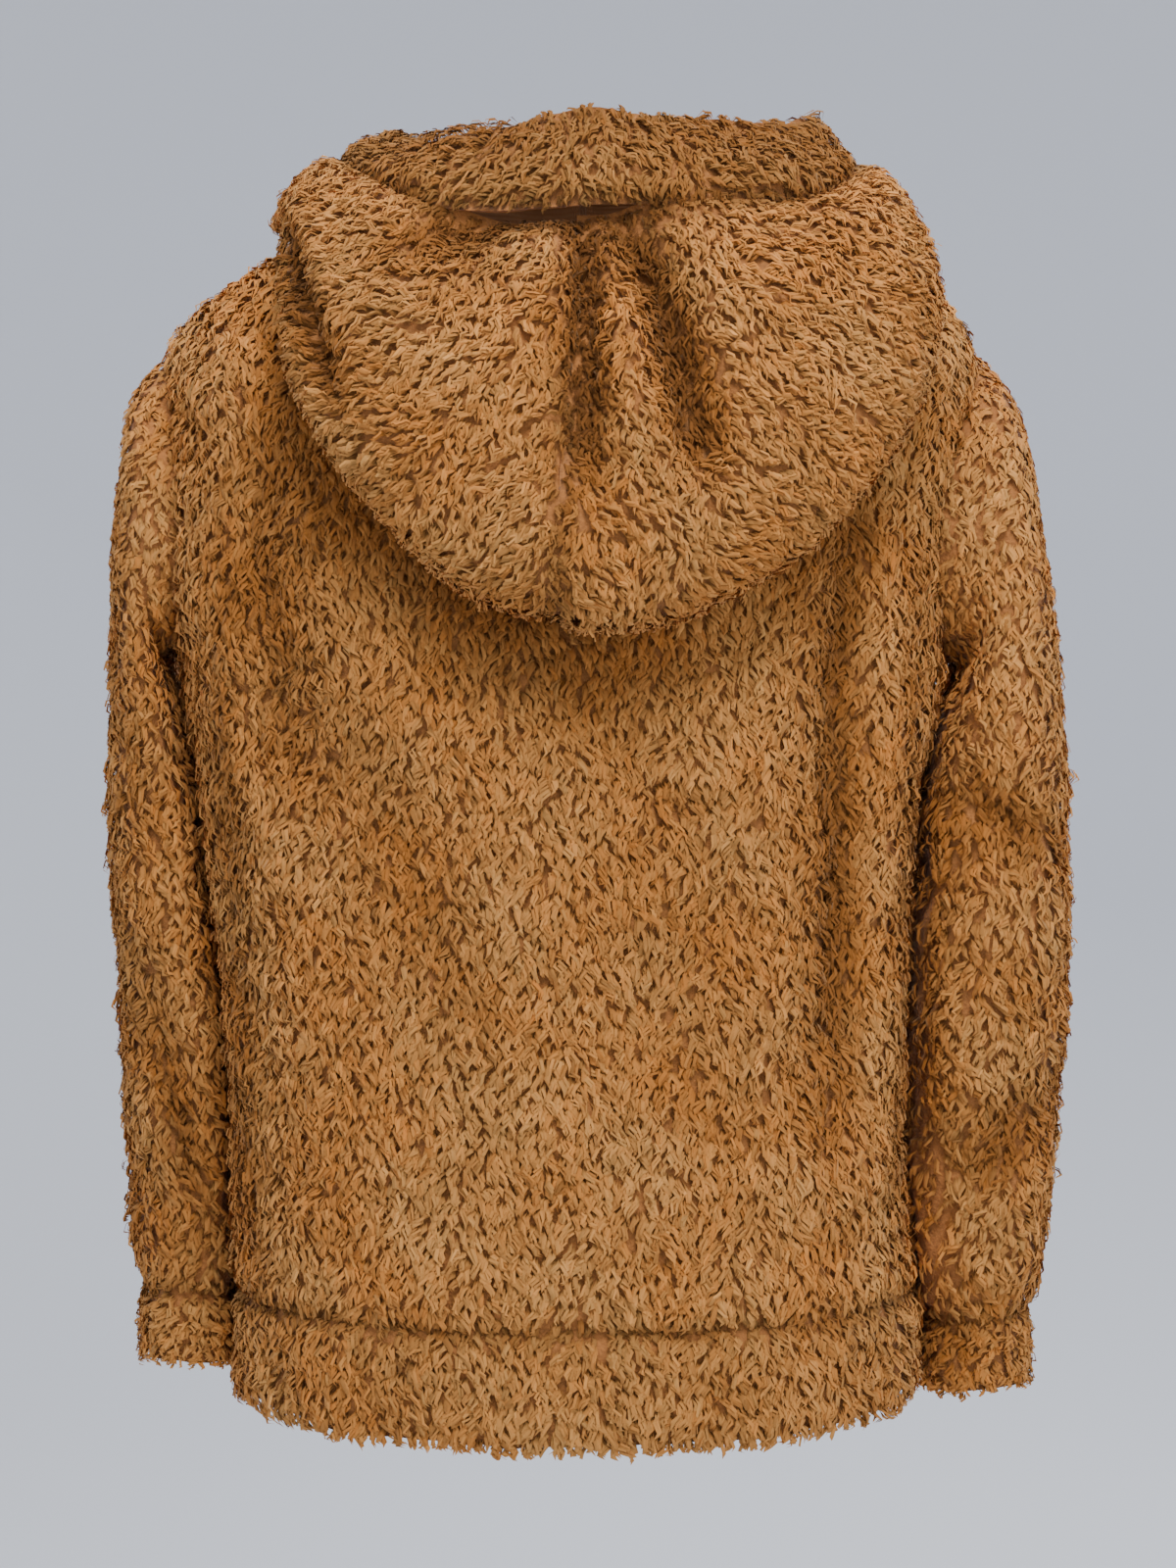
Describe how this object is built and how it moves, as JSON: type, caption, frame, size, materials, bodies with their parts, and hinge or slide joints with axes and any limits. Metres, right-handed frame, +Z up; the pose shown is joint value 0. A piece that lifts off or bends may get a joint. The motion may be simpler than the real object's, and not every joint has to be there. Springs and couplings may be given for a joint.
{
  "type": "zip-up hooded sweatshirt",
  "caption": "Tan sherpa zip-up hoodie in its worn, hollow shape, hood down on the back, with cuffs, a hem band and a front zip.",
  "frame": {"origin": "centre of the neck opening at its base, on the garment's middle plane, where the wearer's neck and shoulders hold it", "axes": "+Z up, +Y towards the wearer's front, +X towards the wearer's right"},
  "size_m": [0.563, 0.314, 0.7439],
  "materials": {
    "sherpa": "long curly pile, matte",
    "zip_tape": "woven tape, matte",
    "zip_metal": "antique brass plate, satin"
  },
  "bodies": {
    "garment": {"back": "sherpa", "front_left": "sherpa", "front_right": "sherpa", "hem_band": "sherpa", "sleeve_left": "sherpa", "sleeve_right": "sherpa", "cuff_left": "sherpa", "cuff_right": "sherpa", "hood_left": "sherpa", "hood_right": "sherpa", "hood_band": "sherpa", "zip_tape_left": "zip_tape", "zip_tape_right": "zip_tape", "zip_chain_left": "zip_metal", "zip_chain_right": "zip_metal", "zip_slider": "zip_metal", "zip_stop_left": "zip_metal", "zip_stop_right": "zip_metal", "zip_box": "zip_metal"},
    "pull_tab": {"zip_pull": "zip_metal"}
  },
  "joints": [
    {"name": "pull_tab_hinge", "type": "hinge", "parent": "garment", "child": "pull_tab", "pos_m": [-0.00055, 0.09158, -0.09635], "axis": [1, 0, 0], "range_deg": [0, 170]}
  ]
}
